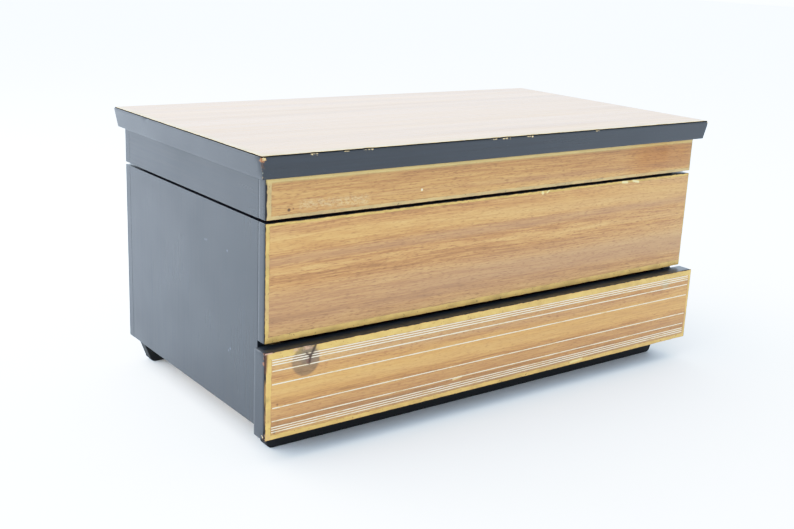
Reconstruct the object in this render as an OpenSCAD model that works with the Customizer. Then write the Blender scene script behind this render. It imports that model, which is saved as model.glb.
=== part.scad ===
// A wooden jewelry box: a black-lacquered carcass with wood-grain faced front boards,
// a hinged lid with a mirror, a slotted lid stay, and a full-width drawer below.
// Millimetres. +Z is up, the front looks along -Y, and the origin is at the centre
// of the box's footprint, on the surface that it stands on.

/* [Carcass] */
// Width over the side panels
carcass_w = 265; // [240:1:300]
// Depth from the front board's face to the back panel's outer face
carcass_d = 143; // [125:1:170]
// Height of the foot bars, up to the bottom edge of the sides
foot_h = 13.5; // [8:0.5:16]
// Height from the bottom edge of the sides to the bottom edge of the front board
bay_h = 39.5; // [36:0.5:50]
// Height of the front board of the upper compartment
front_board_h = 52.3; // [52:0.1:70]

/* [Boards] */
// Thickness of the side panels and of the lid's side rails
side_t = 6; // [5:0.5:8]
// Thickness of the front board and the lid's front rail, with their facing
front_t = 6; // [5:0.5:9]
// Thickness of the back panel and the lid's back rail
back_t = 5; // [5:0.5:8]
// Thickness of the floor of the upper compartment
floor_t = 3; // [2.5:0.5:4]
// Thickness of the bottom panel
bottom_t = 4; // [3:0.5:5]
// Thickness of the wood-grain facing
veneer_t = 0.6; // [0.4:0.1:1]
// Thickness of the velvet-covered card in the upper compartment
lining_t = 1.5; // [1:0.5:2]

/* [Lid] */
// Thickness of the lid board, with its facing
lid_t = 10; // [8:0.5:12]
// Height of the rails under the lid board
rim_h = 18; // [16:0.5:26]
// Gap between the closed lid and the carcass, which the hinge leaves fill
lid_gap = 1.2; // [1.2:0.1:1.6]
// Overhang of the lid board's top edge at the front and the sides
lid_over_top = 5; // [4:0.5:7]
// Overhang of the lid board's bottom edge at the front and the sides
lid_over_bottom = 3.5; // [2:0.5:4]
// Largest angle of the open lid, in degrees, which the stay's slot sets
lid_open = 95; // [80:1:100]

/* [Drawer] */
// Height of the drawer front
drawer_front_h = 39.8; // [38:0.1:42]
// Thickness of the drawer front, with its facing
drawer_front_t = 9; // [8:0.5:10]
// Overhang of the drawer front beyond each side panel
drawer_over = 3.5; // [2:0.5:5]
// Distance from the front board's face to the drawer front's face, with the drawer just ajar
drawer_proud = 6.5; // [6.5:0.5:9]
// Gap between the front board's bottom edge and the drawer front
drawer_gap = 1.4; // [1:0.1:2]
// Thickness of the drawer's sides and back
drawer_side_t = 5; // [4:0.5:6]

/* [Fittings] */
// Length of each hinge
hinge_l = 24; // [20:1:30]
// Distance of each hinge's middle from the middle of the box
hinge_x = 85; // [60:1:100]
// Number of ring rolls
roll_count = 7; // [5:1:7]
// Distance from the hinge axis to both of the stay's pins
stay_r = 28; // [24:1:28]

/* [Hidden] */
$fn = 48;

// Heights, from the standing surface
board_z = foot_h + bay_h;
carcass_top = board_z + front_board_h;
rim_z = carcass_top + lid_gap;
lid_z = rim_z + rim_h;
lid_top = lid_z + lid_t;
bay_floor = foot_h + bottom_t;
compartment_z = board_z + floor_t;
lining_z = compartment_z + lining_t;

// Depths: the front board's face and the back panel's outer face
knuckle_r = 1.6;
knuckle_gap = 0.1;
hinge_reach = 2 * knuckle_r + knuckle_gap;
front_y = (drawer_proud - carcass_d - hinge_reach) / 2;
rear_y = front_y + carcass_d;
inner_front = front_y + front_t;
inner_rear = rear_y - back_t;
inner_d = inner_rear - inner_front;

// Half widths
half_w = carcass_w / 2;
inner_half = half_w - side_t;
lined_half = inner_half - lining_t;
lined_front = inner_front + lining_t;
lined_rear = inner_rear - lining_t;
lined_d = lined_rear - lined_front;

// Hinge and stay
axis_y = rear_y + knuckle_r + knuckle_gap;
axis_z = carcass_top + lid_gap / 2;
leaf_t = lid_gap / 2 - 0.1;
leaf_front = -6.5;
pin_r = 0.8;
bore_r = 0.84;
screw_y = -4.2;
screw_spread = 8;
screw_r = 0.6;
screw_head_r = 1.1;
screw_l = 7;
stay_half_angle = 10;
stay_t = 1;
stay_w = 6;
stay_shank_r = 1.2;
stay_slot_r = 1.35;
stay_x = inner_half - 3.7;
stay_pivot = [axis_y - stay_r * cos(stay_half_angle), axis_z + stay_r * sin(stay_half_angle)];
stay_low_pin = [stay_pivot[0], axis_z - stay_r * sin(stay_half_angle)];
stay_near = 2 * stay_r * sin(stay_half_angle);
stay_far = 2 * stay_r * sin(stay_half_angle + lid_open / 2);

// Lid board: the overhang at the back is small, because the lid turns down there
lid_rear_top = 2;
lid_rear_bottom = 0.5;
rim_lining_t = 1;
mirror_w = 196;
mirror_d = 92;
mirror_t = 2;
frame_w = 5;
frame_h = 3.4;
frame_lip = 1.5;

// Drawer
drawer_face = front_y - drawer_proud;
drawer_rear_face = drawer_face + drawer_front_t;
drawer_z = board_z - drawer_gap - drawer_front_h;
slide_gap = 0.2;
box_half = inner_half - 0.8;
box_z = bay_floor + slide_gap;
box_h = board_z - 3 - box_z;
close_travel = inner_front - drawer_rear_face;
box_rear = inner_rear - close_travel - 1.5;
drawer_bottom_t = 3;
drawer_lining_t = 1;
drawer_lined_half = box_half - drawer_side_t - drawer_lining_t;
drawer_floor = box_z + drawer_bottom_t + drawer_lining_t;
drawer_lined_front = drawer_rear_face + drawer_lining_t;
drawer_lined_rear = box_rear - drawer_side_t - drawer_lining_t;
drawer_wall_h = box_h - drawer_bottom_t - 2;
stripe_t = 0.15;
stripe_h = 0.5;
stripe_margin = 2.4;
stripe_offsets = [5.4, 11.4, 14.2, 15.3, 16.4];

// Foot bars
bar_t = 6;
bar_top_half = half_w - 2.5;
bar_bottom_half = half_w - 7.5;
bar_corner_r = 3;
front_bar_y = front_y + 8.7;
rear_bar_y = inner_rear - 5.3;
foot_screw_x = 95;
foot_screw_l = 12;
foot_screw_r = 1.3;
foot_screw_head_r = 2.6;
foot_screw_head_h = 1.6;

// Upper compartment
tray_w = 80;
divider_t = 3;
divider_h = 40;
tray_right = -lined_half + tray_w;
roll_pitch = lined_d / roll_count;
roll_r = roll_pitch / 2 - 0.2;
roll_top = carcass_top - 5;
tray_base_top = roll_top - 2 * roll_r;
cells_left = tray_right + divider_t;
long_y = (lined_front + lined_rear) / 2;
short_x = (cells_left + lined_half) / 2;

lacquer = [0.07, 0.075, 0.085];
grain = [0.72, 0.53, 0.31];
bare_wood = [0.80, 0.66, 0.46];
velvet = [0.42, 0.05, 0.08];
brass = [0.78, 0.62, 0.30];

// A board between two corners
module board(low, high) {
  translate(low) cube(high - low);
}

// Everything that turns about the hinge axis or beside it is drawn along +X from a point in the YZ plane
module along_x(x, y, z) {
  translate([x, y, z]) rotate([0, 90, 0]) children();
}

// A countersunk wood screw whose head is flush with z = 0, pointing down
module wood_screw(r, head_r, head_h, length) {
  translate([0, 0, -head_h]) cylinder(r1 = r, r2 = head_r, h = head_h);
  translate([0, 0, -length]) cylinder(r = r, h = length - head_h);
}

// ---- Carcass ----

module side_panel(side) {
  inner = side < 0 ? -half_w : inner_half;
  board([inner, inner_front, foot_h], [inner + side_t, inner_rear, carcass_top]);
}

module side_panel_left() {
  color(lacquer) side_panel(-1);
}

module side_panel_right() {
  color(lacquer) difference() {
    side_panel(1);
    along_x(inner_half - 1, stay_low_pin[0], stay_low_pin[1]) cylinder(r = 1, h = 4.5);
  }
}

module hinge_screw_places() {
  for (hinge = [-1, 1], end = [-1, 1])
    translate([hinge * hinge_x + end * screw_spread, axis_y + screw_y, 0]) children();
}

module back_panel() {
  color(lacquer) difference() {
    board([-half_w, inner_rear, foot_h], [half_w, rear_y, carcass_top]);
    hinge_screw_places() translate([0, 0, carcass_top - screw_l]) cylinder(r = screw_r, h = screw_l + 1);
  }
}

module front_board() {
  color(lacquer) board([-half_w, front_y + veneer_t, board_z], [half_w, inner_front, carcass_top]);
}

module front_facing() {
  color(grain) board([-half_w, front_y, board_z], [half_w, front_y + veneer_t, carcass_top]);
}

module compartment_floor() {
  color(bare_wood) board([-inner_half, inner_front, board_z], [inner_half, inner_rear, compartment_z]);
}

module foot_screw_bodies() {
  for (side = [-1, 1], y = [front_bar_y, rear_bar_y])
    translate([side * foot_screw_x, y + bar_t / 2, bay_floor])
      wood_screw(foot_screw_r, foot_screw_head_r, foot_screw_head_h, foot_screw_l);
}

module bottom_panel() {
  color(bare_wood) difference() {
    board([-inner_half, inner_front, foot_h], [inner_half, inner_rear, bay_floor]);
    foot_screw_bodies();
  }
}

// A bar with leaning ends, rounded where they meet the standing face
module foot_bar(y) {
  lean = atan((bar_top_half - bar_bottom_half) / foot_h);
  tangent = bar_corner_r * tan((90 - lean) / 2);
  centre = [bar_bottom_half - tangent, bar_corner_r];
  corner = [for (a = [-90:15:-lean]) centre + bar_corner_r * [cos(a), sin(a)]];
  half = concat(corner, [[bar_top_half, foot_h]]);
  outline = concat(half, [for (i = [len(half) - 1:-1:0]) [-half[i][0], half[i][1]]]);
  color(lacquer) difference() {
    translate([0, y + bar_t, 0]) rotate([90, 0, 0]) linear_extrude(height = bar_t) polygon(outline);
    foot_screw_bodies();
  }
}

module foot_bar_front() {
  foot_bar(front_bar_y);
}

module foot_bar_rear() {
  foot_bar(rear_bar_y);
}

module foot_screws() {
  color(brass) foot_screw_bodies();
}

// ---- Linings and dividers of the upper compartment ----

// The velvet lips of the carcass and the lid nearly meet in the middle of the gap, and carry the closed lid
lip_gap = 0.2;
lining_top = carcass_top + (lid_gap - lip_gap) / 2;

module lining_floor() {
  color(velvet) board([-inner_half, inner_front, compartment_z], [inner_half, inner_rear, lining_z]);
}

module lining_side(low_x) {
  board([low_x, inner_front, lining_z], [low_x + lining_t, inner_rear, lining_top]);
}

module lining_left() {
  color(velvet) lining_side(-inner_half);
}

module lining_right() {
  color(velvet) difference() {
    lining_side(lined_half);
    along_x(lined_half - 1, stay_low_pin[0], stay_low_pin[1]) cylinder(r = 2.3, h = 4);
  }
}

module lining_front() {
  color(velvet) board([-lined_half, inner_front, lining_z], [lined_half, lined_front, lining_top]);
}

module lining_back() {
  color(velvet) board([-lined_half, lined_rear, lining_z], [lined_half, inner_rear, lining_top]);
}

module ring_tray_base() {
  color(velvet) board([-lined_half, lined_front, lining_z], [tray_right, lined_rear, tray_base_top]);
}

module ring_roll(n) {
  y = lined_front + (n - 0.5) * roll_pitch;
  if (n <= roll_count)
    color(velvet) along_x(-lined_half + 0.5, y, tray_base_top + roll_r) cylinder(r = roll_r, h = tray_w - 1);
}

divider_top = lining_z + divider_h;

module divider_ring_tray() {
  color(velvet) board([tray_right, lined_front, lining_z], [cells_left, lined_rear, divider_top]);
}

module divider_long() {
  color(velvet) board([cells_left, long_y - divider_t / 2, lining_z],
                      [lined_half, long_y + divider_t / 2, divider_top]);
}

module divider_short(y0, y1) {
  color(velvet) board([short_x - divider_t / 2, y0, lining_z], [short_x + divider_t / 2, y1, divider_top]);
}

module divider_short_front() {
  divider_short(lined_front, long_y - divider_t / 2);
}

module divider_short_rear() {
  divider_short(long_y + divider_t / 2, lined_rear);
}

// ---- Hinges ----

// Knuckles from x0 to x1 with the leaf's tongue to them, around the axis
module knuckle(x0, x1, leaf_z) {
  along_x(x0, 0, 0) cylinder(r = knuckle_r, h = x1 - x0);
  board([x0, leaf_front + 1, leaf_z], [x1, -knuckle_r * 0.5, leaf_z + leaf_t]);
}

// One leaf at its place on the axis. The carcass leaf has the outer knuckles, which hold the pin
// fast, and the lid leaf has the middle one, which turns on it.
module hinge_leaf(x, outer) {
  third = hinge_l / 6;
  leaf_z = outer ? -lid_gap / 2 : lid_gap / 2 - leaf_t;
  turn = outer ? 0 : 180;
  translate([x, axis_y, axis_z]) difference() {
    union() {
      board([-hinge_l / 2, leaf_front, leaf_z], [hinge_l / 2, -knuckle_r - 0.3, leaf_z + leaf_t]);
      if (outer) {
        knuckle(-hinge_l / 2, -third - 0.1, leaf_z);
        knuckle(third + 0.1, hinge_l / 2, leaf_z);
      } else {
        knuckle(-third, third, leaf_z);
      }
    }
    along_x(-hinge_l, 0, 0) cylinder(r = outer ? pin_r : bore_r, h = 2 * hinge_l);
    for (end = [-1, 1])
      translate([end * screw_spread, screw_y, outer ? leaf_z + leaf_t : leaf_z]) rotate([turn, 0, 0])
        wood_screw(screw_r + 0.03, screw_head_r + 0.03, leaf_t, 2 * leaf_t);
  }
}

module hinge_left_carcass_leaf() {
  color(brass) hinge_leaf(-hinge_x, true);
}

module hinge_right_carcass_leaf() {
  color(brass) hinge_leaf(hinge_x, true);
}

module hinge_left_lid_leaf() {
  color(brass) hinge_leaf(-hinge_x, false);
}

module hinge_right_lid_leaf() {
  color(brass) hinge_leaf(hinge_x, false);
}

module hinge_pin(x) {
  color(brass) along_x(x - hinge_l / 2 - 0.4, axis_y, axis_z) cylinder(r = pin_r, h = hinge_l + 0.8);
}

module hinge_screws_carcass() {
  color(brass) hinge_screw_places() translate([0, 0, carcass_top + leaf_t])
    wood_screw(screw_r, screw_head_r, leaf_t, screw_l);
}

module hinge_screws_lid() {
  color(brass) hinge_screw_places() translate([0, 0, rim_z - leaf_t]) rotate([180, 0, 0])
    wood_screw(screw_r, screw_head_r, leaf_t, screw_l);
}

// ---- Lid stay ----

// A headed pin that screws into a side: thread, shoulder, shank for the arm, and head
module shouldered_pin(y, z) {
  head_x = stay_x - 1.6;
  outline = [[0, 0], [2.4, 0], [2.4, 1], [stay_shank_r, 1], [stay_shank_r, 2.8], [2.2, 2.8],
             [2.2, inner_half - head_x], [1, inner_half - head_x], [1, inner_half - head_x + 3.5],
             [0, inner_half - head_x + 3.5]];
  color(brass) along_x(head_x, y, z) rotate_extrude() polygon(outline);
}

module stay_pin() {
  shouldered_pin(stay_low_pin[0], stay_low_pin[1]);
}

module stay_pivot_screw() {
  shouldered_pin(stay_pivot[0], stay_pivot[1]);
}

// The arm hangs from its pivot on the lid, and its slot runs over the pin on the side panel
module stay_arm() {
  low = stay_far + 4.3;
  slot_top = stay_near - 0.5;
  slot_bottom = stay_far + 0.3;
  color(brass) translate([0, stay_pivot[0], stay_pivot[1]]) difference() {
    union() {
      along_x(stay_x, 0, 0) cylinder(r = stay_w / 2, h = stay_t);
      board([stay_x, -stay_w / 2, -low + stay_w / 2], [stay_x + stay_t, stay_w / 2, 0]);
      along_x(stay_x, 0, -low + stay_w / 2) cylinder(r = stay_w / 2, h = stay_t);
    }
    along_x(stay_x - 1, 0, 0) cylinder(r = stay_shank_r + 0.08, h = 3);
    along_x(stay_x - 1, 0, -slot_top) cylinder(r = stay_slot_r, h = 3);
    along_x(stay_x - 1, 0, -slot_bottom) cylinder(r = stay_slot_r, h = 3);
    board([stay_x - 1, -stay_slot_r, -slot_bottom], [stay_x + 2, stay_slot_r, -slot_top]);
  }
}

// ---- Lid ----

// The board between two heights, with its four edges leaning out towards the top
module lid_slice(z0, z1) {
  height = lid_top - lid_z;
  function over(z, low, high) = low + (high - low) * (z - lid_z) / height;
  x0 = half_w + over(z0, lid_over_bottom, lid_over_top);
  x1 = half_w + over(z1, lid_over_bottom, lid_over_top);
  f0 = front_y - over(z0, lid_over_bottom, lid_over_top);
  f1 = front_y - over(z1, lid_over_bottom, lid_over_top);
  r0 = rear_y + over(z0, lid_rear_bottom, lid_rear_top);
  r1 = rear_y + over(z1, lid_rear_bottom, lid_rear_top);
  intersection() {
    translate([0, r1 + 1, 0]) rotate([90, 0, 0]) linear_extrude(height = r1 - f1 + 2)
      polygon([[-x0, z0], [x0, z0], [x1, z1], [-x1, z1]]);
    translate([-x1 - 1, 0, 0]) rotate([90, 0, 90]) linear_extrude(height = 2 * x1 + 2)
      polygon([[f0, z0], [r0, z0], [r1, z1], [f1, z1]]);
  }
}

module lid_board() {
  color(lacquer) lid_slice(lid_z, lid_top - veneer_t);
}

module lid_facing() {
  color(grain) lid_slice(lid_top - veneer_t, lid_top);
}

module lid_rail_front() {
  color(lacquer) board([-half_w, front_y + veneer_t, rim_z], [half_w, inner_front, lid_z]);
}

module lid_front_facing() {
  color(grain) board([-half_w, front_y, rim_z], [half_w, front_y + veneer_t, lid_z]);
}

module lid_rail_back() {
  color(lacquer) difference() {
    board([-half_w, inner_rear, rim_z], [half_w, rear_y, lid_z]);
    hinge_screw_places() translate([0, 0, rim_z - 1]) cylinder(r = screw_r, h = screw_l + 1);
  }
}

module lid_rail_left() {
  color(lacquer) board([-half_w, inner_front, rim_z], [-inner_half, inner_rear, lid_z]);
}

module lid_rail_right() {
  color(lacquer) difference() {
    board([inner_half, inner_front, rim_z], [half_w, inner_rear, lid_z]);
    along_x(inner_half - 1, stay_pivot[0], stay_pivot[1]) cylinder(r = 1, h = 4.5);
  }
}

rim_lining_low = rim_z - (lid_gap - lip_gap) / 2;
lid_lining_z = lid_z - lining_t;

module lid_lining() {
  color(velvet) board([-inner_half, inner_front, lid_lining_z], [inner_half, inner_rear, lid_z]);
}

module lid_rail_linings() {
  lined = inner_half - rim_lining_t;
  color(velvet) {
    board([-lined, inner_front, rim_lining_low], [lined, inner_front + rim_lining_t, lid_lining_z]);
    board([-lined, inner_rear - rim_lining_t, rim_lining_low], [lined, inner_rear, lid_lining_z]);
    board([-inner_half, inner_front, rim_lining_low], [-lined, inner_rear, lid_lining_z]);
    difference() {
      board([lined, inner_front, rim_lining_low], [inner_half, inner_rear, lid_lining_z]);
      along_x(lined - 1, stay_pivot[0], stay_pivot[1]) cylinder(r = 2.3, h = 3);
    }
  }
}

mirror_y = (inner_front + inner_rear) / 2;

module mirror_block(w, d, z0, z1) {
  board([-w / 2, mirror_y - d / 2, z0], [w / 2, mirror_y + d / 2, z1]);
}

module mirror() {
  color([0.85, 0.88, 0.9]) mirror_block(mirror_w, mirror_d, lid_lining_z - mirror_t, lid_lining_z);
}

module mirror_frame() {
  outer = 2 * (frame_w - frame_lip);
  color(brass) difference() {
    mirror_block(mirror_w + outer, mirror_d + outer, lid_lining_z - frame_h, lid_lining_z);
    mirror_block(mirror_w, mirror_d, lid_lining_z - mirror_t, lid_lining_z + 1);
    mirror_block(mirror_w - 2 * frame_lip, mirror_d - 2 * frame_lip, lid_z - 20, lid_z);
  }
}

// ---- Drawer ----

module drawer_front() {
  color(lacquer) board([-half_w - drawer_over, drawer_face + veneer_t, drawer_z],
                       [half_w + drawer_over, drawer_rear_face, drawer_z + drawer_front_h]);
}

module stripe_places() {
  for (side = [-1, 1], offset = stripe_offsets)
    translate([0, 0, drawer_z + drawer_front_h / 2 + side * offset]) children();
}

module stripe() {
  half = half_w + drawer_over - stripe_margin;
  board([-half, drawer_face, -stripe_h / 2], [half, drawer_face + stripe_t, stripe_h / 2]);
}

module drawer_facing() {
  color(grain) difference() {
    board([-half_w - drawer_over, drawer_face, drawer_z],
          [half_w + drawer_over, drawer_face + veneer_t, drawer_z + drawer_front_h]);
    stripe_places() stripe();
  }
}

module drawer_stripes() {
  color([0.92, 0.88, 0.78]) stripe_places() stripe();
}

module drawer_side(x) {
  color(bare_wood) board([x, drawer_rear_face, box_z], [x + drawer_side_t, box_rear, box_z + box_h]);
}

module drawer_side_left() {
  drawer_side(-box_half);
}

module drawer_side_right() {
  drawer_side(box_half - drawer_side_t);
}

module drawer_back() {
  inner = box_half - drawer_side_t;
  color(bare_wood) board([-inner, box_rear - drawer_side_t, box_z], [inner, box_rear, box_z + box_h]);
}

module drawer_bottom() {
  inner = box_half - drawer_side_t;
  color(bare_wood) board([-inner, drawer_rear_face, box_z],
                         [inner, box_rear - drawer_side_t, box_z + drawer_bottom_t]);
}

module drawer_lining_floor() {
  inner = box_half - drawer_side_t;
  color(velvet) board([-inner, drawer_rear_face, drawer_floor - drawer_lining_t],
                      [inner, box_rear - drawer_side_t, drawer_floor]);
}

module drawer_lining_walls() {
  inner = box_half - drawer_side_t;
  rear = box_rear - drawer_side_t;
  top = drawer_floor + drawer_wall_h - drawer_lining_t;
  color(velvet) {
    for (x = [-inner, inner - drawer_lining_t])
      board([x, drawer_rear_face, drawer_floor], [x + drawer_lining_t, rear, top]);
    for (y = [drawer_rear_face, rear - drawer_lining_t])
      board([-drawer_lined_half, y, drawer_floor], [drawer_lined_half, y + drawer_lining_t, top]);
  }
}

module drawer_divider(x) {
  color(velvet) board([x - divider_t / 2, drawer_lined_front, drawer_floor],
                      [x + divider_t / 2, drawer_lined_rear, drawer_floor + 20]);
}

side_panel_left();
side_panel_right();
back_panel();
front_board();
front_facing();
compartment_floor();
bottom_panel();
foot_bar_front();
foot_bar_rear();
foot_screws();
lining_floor();
lining_left();
lining_right();
lining_front();
lining_back();
ring_tray_base();
ring_roll(1);  // ring_roll_1
ring_roll(2);  // ring_roll_2
ring_roll(3);  // ring_roll_3
ring_roll(4);  // ring_roll_4
ring_roll(5);  // ring_roll_5
ring_roll(6);  // ring_roll_6
ring_roll(7);  // ring_roll_7
divider_ring_tray();
divider_long();
divider_short_front();
divider_short_rear();
hinge_left_carcass_leaf();
hinge_right_carcass_leaf();
hinge_pin(-hinge_x);  // hinge_left_pin
hinge_pin(hinge_x);  // hinge_right_pin
hinge_screws_carcass();
stay_pin();
lid_board();
lid_facing();
lid_rail_front();
lid_rail_back();
lid_rail_left();
lid_rail_right();
lid_front_facing();
lid_lining();
lid_rail_linings();
mirror();
mirror_frame();
hinge_left_lid_leaf();
hinge_right_lid_leaf();
hinge_screws_lid();
stay_pivot_screw();
stay_arm();
drawer_front();
drawer_facing();
drawer_stripes();
drawer_side_left();
drawer_side_right();
drawer_back();
drawer_bottom();
drawer_lining_floor();
drawer_lining_walls();
drawer_divider(-short_x);  // drawer_divider_left
drawer_divider(short_x);  // drawer_divider_right
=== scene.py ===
import math

import bmesh
import bpy
from mathutils import Matrix, Vector, noise


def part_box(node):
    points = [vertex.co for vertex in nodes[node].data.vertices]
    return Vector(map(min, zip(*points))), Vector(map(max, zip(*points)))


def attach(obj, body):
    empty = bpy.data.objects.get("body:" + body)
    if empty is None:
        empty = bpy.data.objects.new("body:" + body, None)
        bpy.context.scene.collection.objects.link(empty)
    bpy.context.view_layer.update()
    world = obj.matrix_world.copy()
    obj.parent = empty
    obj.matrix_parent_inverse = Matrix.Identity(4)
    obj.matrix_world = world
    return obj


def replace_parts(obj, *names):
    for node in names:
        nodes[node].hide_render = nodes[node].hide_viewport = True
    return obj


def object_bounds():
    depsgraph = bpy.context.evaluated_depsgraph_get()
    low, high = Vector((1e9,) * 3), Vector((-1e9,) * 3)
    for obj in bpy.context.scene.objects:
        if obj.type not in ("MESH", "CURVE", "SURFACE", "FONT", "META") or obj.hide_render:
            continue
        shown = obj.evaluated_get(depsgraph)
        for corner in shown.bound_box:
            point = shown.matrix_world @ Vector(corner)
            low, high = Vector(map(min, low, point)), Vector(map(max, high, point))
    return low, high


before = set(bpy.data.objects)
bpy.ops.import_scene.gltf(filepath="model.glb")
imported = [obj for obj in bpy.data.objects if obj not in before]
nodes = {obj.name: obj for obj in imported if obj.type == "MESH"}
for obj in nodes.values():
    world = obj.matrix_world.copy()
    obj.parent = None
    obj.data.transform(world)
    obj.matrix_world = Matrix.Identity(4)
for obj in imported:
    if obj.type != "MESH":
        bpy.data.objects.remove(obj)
cadLow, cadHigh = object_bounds()
mm = 0.001
print("stage: frame loaded,", len(nodes), "nodes")


def hexToLinear(code):
    values = [int(code[i:i + 2], 16) / 255 for i in (1, 3, 5)]
    return tuple(v / 12.92 if v <= 0.04045 else ((v + 0.055) / 1.055) ** 2.4 for v in values) + (1.0,)


def addNode(tree, kind, settings=None, links=None):
    # a setting may be a hex colour, and steps are (place, hex colour) along a ramp
    node = tree.nodes.new("ShaderNode" + kind)
    for key, value in (settings or {}).items():
        if key == "steps":
            elements = node.color_ramp.elements
            while len(elements) < len(value):
                elements.new(0.5)
            for element, (at, code) in zip(elements, value):
                element.position = at
                element.color = hexToLinear(code)
        elif isinstance(key, str) and hasattr(node, key):
            setattr(node, key, value)
        else:
            node.inputs[key].default_value = hexToLinear(value) if isinstance(value, str) else value
    for key, source in (links or {}).items():
        tree.links.new(source.outputs[0] if hasattr(source, "outputs") else source, node.inputs[key])
    return node


def startMaterial(name, roughness=0.5, metallic=0.0, specular=0.5):
    material = bpy.data.materials.new(name)
    material.use_nodes = True
    tree = material.node_tree
    shader = tree.nodes["Principled BSDF"]
    shader.inputs["Roughness"].default_value = roughness
    shader.inputs["Metallic"].default_value = metallic
    shader.inputs["Specular IOR Level"].default_value = specular
    return material, tree, shader


def joinShader(tree, shader, colour, gloss=None, relief=None, strength=0.0, depth=0.0):
    # the shader's colour, roughness and fine relief, each from its own pattern
    tree.links.new(colour.outputs[0], shader.inputs["Base Color"])
    if gloss:
        tree.links.new(gloss.outputs[0], shader.inputs["Roughness"])
    if relief:
        bump = addNode(tree, "Bump", {"Strength": strength, "Distance": depth}, {"Height": relief})
        tree.links.new(bump.outputs[0], shader.inputs["Normal"])


def stretchedNoise(tree, place, sizes, detail=3.0, roughness=0.5):
    # sizes are the lengths of one blotch along X, Y and Z, in millimetres
    scale = tuple(1 / (size * mm) for size in sizes)
    stretch = addNode(tree, "Mapping", {"Scale": scale}, {"Vector": place})
    settings = {"Scale": 1.0, "Detail": detail, "Roughness": roughness}
    return addNode(tree, "TexNoise", settings, {"Vector": stretch})


def spotMask(tree, place, centre, radius, soft):
    away = addNode(tree, "VectorMath", {"operation": "DISTANCE", 1: centre}, {0: place})
    return addNode(tree, "MapRange", {"From Min": radius + soft, "From Max": radius - soft},
                   {"Value": away.outputs["Value"]})


def lineMask(tree, place, start, end, width):
    # distance from the place to the stretch between start and end
    run = Vector(end) - Vector(start)
    offset = addNode(tree, "VectorMath", {"operation": "SUBTRACT", 1: start}, {0: place})
    unitRun = tuple(run / run.length_squared)
    along = addNode(tree, "VectorMath", {"operation": "DOT_PRODUCT", 1: unitRun}, {0: offset})
    share = addNode(tree, "Clamp", {}, {"Value": along.outputs["Value"]})
    foot = addNode(tree, "VectorMath", {"operation": "SCALE", 0: tuple(run)}, {"Scale": share})
    away = addNode(tree, "VectorMath", {"operation": "DISTANCE"}, {0: offset, 1: foot})
    return addNode(tree, "MapRange", {"From Min": width, "From Max": width * 0.3},
                   {"Value": away.outputs["Value"]})


def addMarks(tree, place, colour, marks, depth):
    # Stains, cracks and scuffs, and a painted highlight, on an upright face at depth along Y. A mark is in
    # millimetres: at is a spot (x, z) with a radius and a soft rim, or a stroke (x, z, end x, end z) with a
    # width, and broken is the size of the gaps that wear has left in it.
    for mark in marks:
        ends = [(x * mm, depth, z * mm) for x, z in zip(mark["at"][::2], mark["at"][1::2])]
        if len(ends) > 1:
            mask = lineMask(tree, place, *ends, mark["width"] * mm)
        else:
            mask = spotMask(tree, place, *ends, mark["radius"] * mm, mark["soft"] * mm)
        strength = addNode(tree, "Math", {"operation": "MULTIPLY", 1: mark["strength"]}, {0: mask})
        if "broken" in mark:
            gapMm = mark["broken"]
            gaps = stretchedNoise(tree, place, (gapMm * 1.6, gapMm, gapMm), 3.0, 0.65)
            gaps = addNode(tree, "MapRange", {"From Min": 0.42, "From Max": 0.60}, {"Value": gaps})
            strength = addNode(tree, "Math", {"operation": "MULTIPLY"}, {0: strength, 1: gaps})
        blend = {"blend_type": mark.get("mode", "MIX"), "Color2": mark["colour"]}
        colour = addNode(tree, "MixRGB", blend, {"Fac": strength, "Color1": colour})
    return colour


def makePiece(name, verts, faces, materials, body, smoothAngle=35):
    mesh = bpy.data.meshes.new(name)
    mesh.from_pydata([tuple(v) for v in verts], [], faces)
    mesh.validate()
    work = bmesh.new()
    work.from_mesh(mesh)
    bmesh.ops.recalc_face_normals(work, faces=work.faces)
    work.to_mesh(mesh)
    work.free()
    for material in materials:
        mesh.materials.append(material)
    mesh.shade_smooth()
    mesh.set_sharp_from_angle(angle=math.radians(smoothAngle))
    for face in mesh.polygons:
        if face.loop_total > 8:
            face.use_smooth = False
            for index in face.loop_indices:
                mesh.edges[mesh.loops[index].edge_index].use_edge_sharp = True
    piece = bpy.data.objects.new(name, mesh)
    bpy.context.scene.collection.objects.link(piece)
    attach(piece, body)
    return piece


def dressNode(name, material, edge=0.0, segments=3):
    # a carried-over part keeps its mesh, and gets a finish and softened edges
    part = nodes[name]
    part.data.materials.clear()
    part.data.materials.append(material)
    if edge:
        weld = part.modifiers.new("weld", "WELD")
        weld.merge_threshold = 0.002 * mm
        bevel = part.modifiers.new("softEdges", "BEVEL")
        bevel.width = edge
        bevel.segments = segments
        bevel.limit_method = "ANGLE"
        bevel.angle_limit = math.radians(30)
        normals = part.modifiers.new("flatFaces", "WEIGHTED_NORMAL")
        normals.keep_sharp = False


def wobble(point, size, seed):
    # smooth repeatable noise from -1 to 1, with blotches of the given size in millimetres
    return noise.noise(Vector(point) / (size * mm) + Vector((seed * 17.3, seed * 5.1, seed * 9.7)))


cameraSet = {
    "place": (-0.34946, -0.45057, 0.21330),
    "turn": (1.2964, -0.0424, -0.6315),
    "lens": 49.74,
    "shift": (-0.0015, -0.0009),
}
cameraData = bpy.data.cameras.new("camera")
cameraData.lens = cameraSet["lens"]
cameraData.sensor_width = 36
cameraData.shift_x, cameraData.shift_y = cameraSet["shift"]
cameraData.clip_start = 0.01
cameraObject = bpy.data.objects.new("camera", cameraData)
cameraObject.location = cameraSet["place"]
cameraObject.rotation_euler = cameraSet["turn"]
bpy.context.scene.collection.objects.link(cameraObject)
bpy.context.scene.camera = cameraObject


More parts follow.
